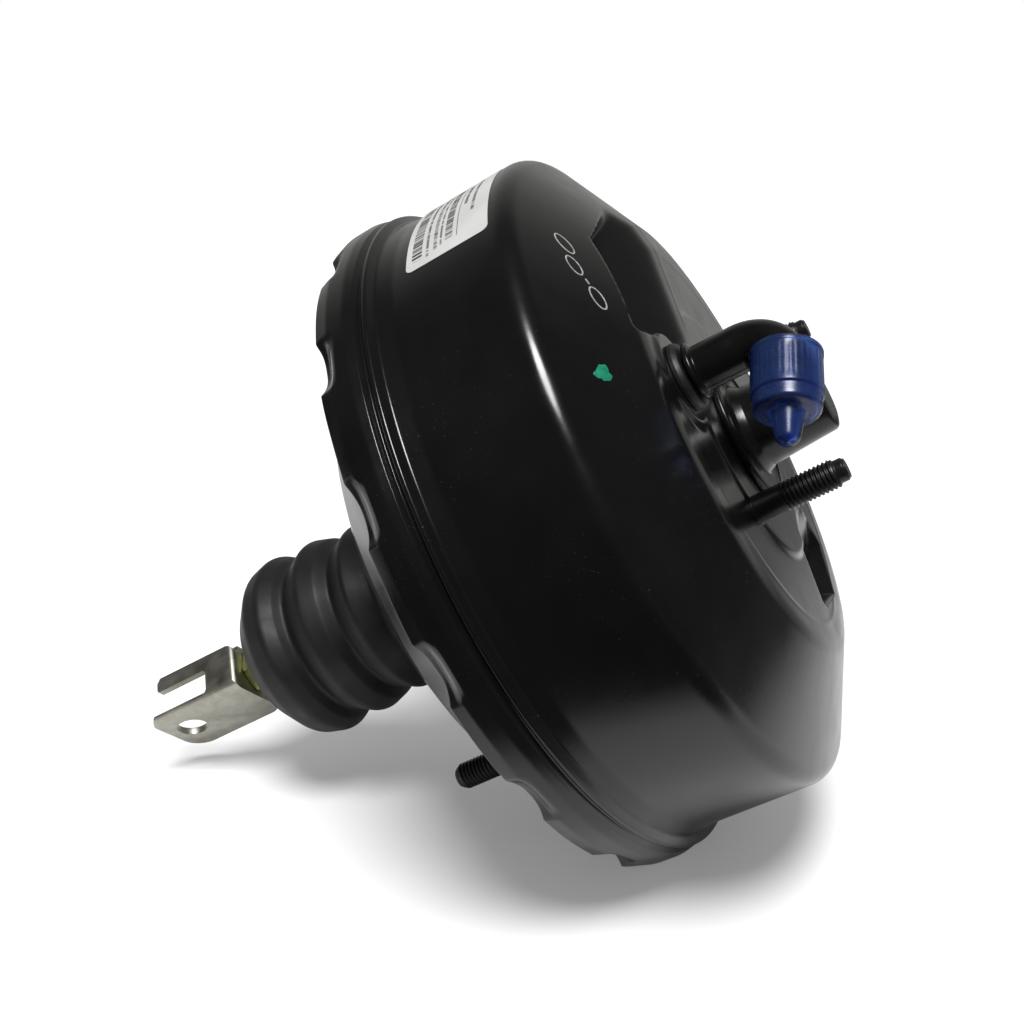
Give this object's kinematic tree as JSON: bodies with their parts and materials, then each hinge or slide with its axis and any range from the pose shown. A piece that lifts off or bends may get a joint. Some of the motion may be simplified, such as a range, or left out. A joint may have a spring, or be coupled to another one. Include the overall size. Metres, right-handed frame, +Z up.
{
  "type": "vacuum brake booster",
  "caption": "Vacuum brake booster: crimped black steel shells, threaded mounting studs, check-valve elbow, and a pushrod with clevis in a rubber boot.",
  "frame": {"origin": "on the booster's axis, in the plane of the rear mounting face", "axes": "+X forward along the booster's axis, towards the master cylinder; +Y left; +Z up, with the label on top"},
  "size_m": [0.3078, 0.252, 0.252],
  "materials": {
    "shell_paint": "gloss black baked enamel",
    "stud_coating": "black phosphate and oil",
    "inner_steel": "plain pressed steel",
    "spring_steel": "dark drawn spring wire",
    "rod_steel": "zinc-plated machined steel",
    "clevis_zinc": "zinc-plated pressed steel",
    "nut_zinc": "yellow-green passivated zinc",
    "boot_rubber": "satin black moulded rubber",
    "seal_rubber": "matt black rubber",
    "black_plastic": "satin black moulded plastic",
    "blue_plastic": "translucent royal blue soft plastic",
    "hub_plastic": "dark glass-filled phenolic",
    "bearing_plastic": "natural low-friction plastic",
    "felt": "open felt",
    "label_film": "white satin film"
  },
  "bodies": {
    "shell": {"front_shell": "shell_paint", "rear_shell": "shell_paint", "front_reinforcement": "inner_steel", "rear_reinforcement": "inner_steel", "front_stud_left": "stud_coating", "front_stud_right": "stud_coating", "rear_stud_upper": "stud_coating", "rear_stud_lower": "stud_coating", "seal_plate": "inner_steel", "rod_seal": "seal_rubber", "valve_grommet": "seal_rubber", "label": "label_film", "hub_bearing": "bearing_plastic", "hub_seal": "seal_rubber", "seal_retainer": "inner_steel", "main_spring": "spring_steel", "diaphragm": "seal_rubber", "dust_boot": "boot_rubber"},
    "elbow": {"check_valve_elbow": "black_plastic", "check_valve_spring": "spring_steel"},
    "valve_disc": {"check_valve_disc": "seal_rubber"},
    "outlet_plug": {"outlet_cap": "blue_plastic"},
    "opening_plug": {"opening_cap": "black_plastic"},
    "piston": {"valve_body": "hub_plastic", "stop_key": "inner_steel", "diaphragm_plate": "inner_steel", "reaction_disc": "seal_rubber", "output_rod": "rod_steel", "rod_adjuster": "rod_steel", "rod_retainer": "inner_steel", "poppet_valve": "seal_rubber", "poppet_spring": "spring_steel", "poppet_retainer": "inner_steel", "rod_spring": "spring_steel", "silencer": "felt", "air_filter": "felt"},
    "plunger": {"valve_plunger": "rod_steel"},
    "push_rod": {"input_rod": "rod_steel", "spring_cup": "inner_steel", "lock_nut": "nut_zinc"},
    "clevis": {"clevis": "clevis_zinc"}
  },
  "joints": [
    {"name": "piston_travel", "type": "slide", "parent": "shell", "child": "piston", "axis": [1, 0, 0], "range_m": [0, 0.024], "stiffness_N_per_m": 1700, "springref_m": -0.05, "deforming": ["main_spring", "diaphragm", "dust_boot"]},
    {"name": "plunger_travel", "type": "slide", "parent": "piston", "child": "plunger", "axis": [1, 0, 0], "range_m": [0, 0.0012], "stiffness_N_per_m": 3000, "springref_m": -0.01, "deforming": ["rod_spring", "poppet_valve", "poppet_spring"]},
    {"name": "rod_swing", "type": "hinge", "parent": "plunger", "child": "push_rod", "pos_m": [0.002, 0, 0], "axis": [0, 0.9092, 0.4163], "range_deg": [-1.5, 1.5], "stiffness_Nm_per_rad": 20},
    {"name": "clevis_turn", "type": "hinge", "parent": "push_rod", "child": "clevis", "pos_m": [-0.097, 0, 0], "axis": [1, 0, 0], "range_deg": [-30, 30]},
    {"name": "elbow_turn", "type": "hinge", "parent": "shell", "child": "elbow", "pos_m": [0.1245, -0.0341, 0.0469], "axis": [1, 0, 0], "range_deg": [-15, 15]},
    {"name": "check_valve_lift", "type": "slide", "parent": "elbow", "child": "valve_disc", "axis": [1, 0, 0], "range_m": [0, 0.003], "stiffness_N_per_m": 100, "springref_m": -0.002, "deforming": ["check_valve_spring"]},
    {"name": "outlet_cap_pull", "type": "slide", "parent": "elbow", "child": "outlet_plug", "axis": [-0.2794, -0.8742, -0.3972], "range_m": [0, 0.03]},
    {"name": "opening_cap_pull", "type": "slide", "parent": "shell", "child": "opening_plug", "axis": [1, 0, 0], "range_m": [0, 0.035]}
  ]
}
